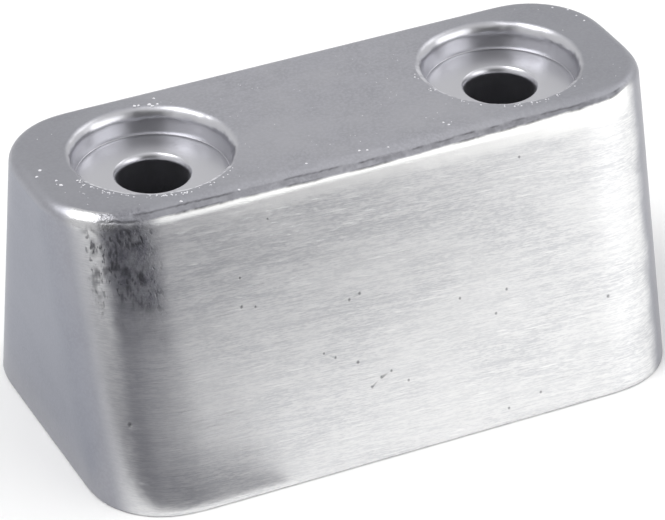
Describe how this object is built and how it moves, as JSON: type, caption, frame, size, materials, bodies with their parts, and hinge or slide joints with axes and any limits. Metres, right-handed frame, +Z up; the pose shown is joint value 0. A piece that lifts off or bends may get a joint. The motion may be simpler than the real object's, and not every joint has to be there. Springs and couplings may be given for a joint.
{
  "type": "sacrificial anode",
  "caption": "Cast block anode with sloping long sides, rounded corners and counterbored bolt holes; it corrodes in place of the metal it is bolted to.",
  "frame": {"origin": "centre of the flat mounting face, on the surface the block stands on", "axes": "+X along the block's length, +Z up out of the seats of the bolt heads, -Y towards the dressed long side"},
  "size_m": [0.0648, 0.0378, 0.03],
  "materials": {
    "cast_metal": "bare cast metal, fine grained, brushed on the dressed long side"
  },
  "bodies": {
    "root": {"anode_block": "cast_metal"}
  },
  "joints": []
}
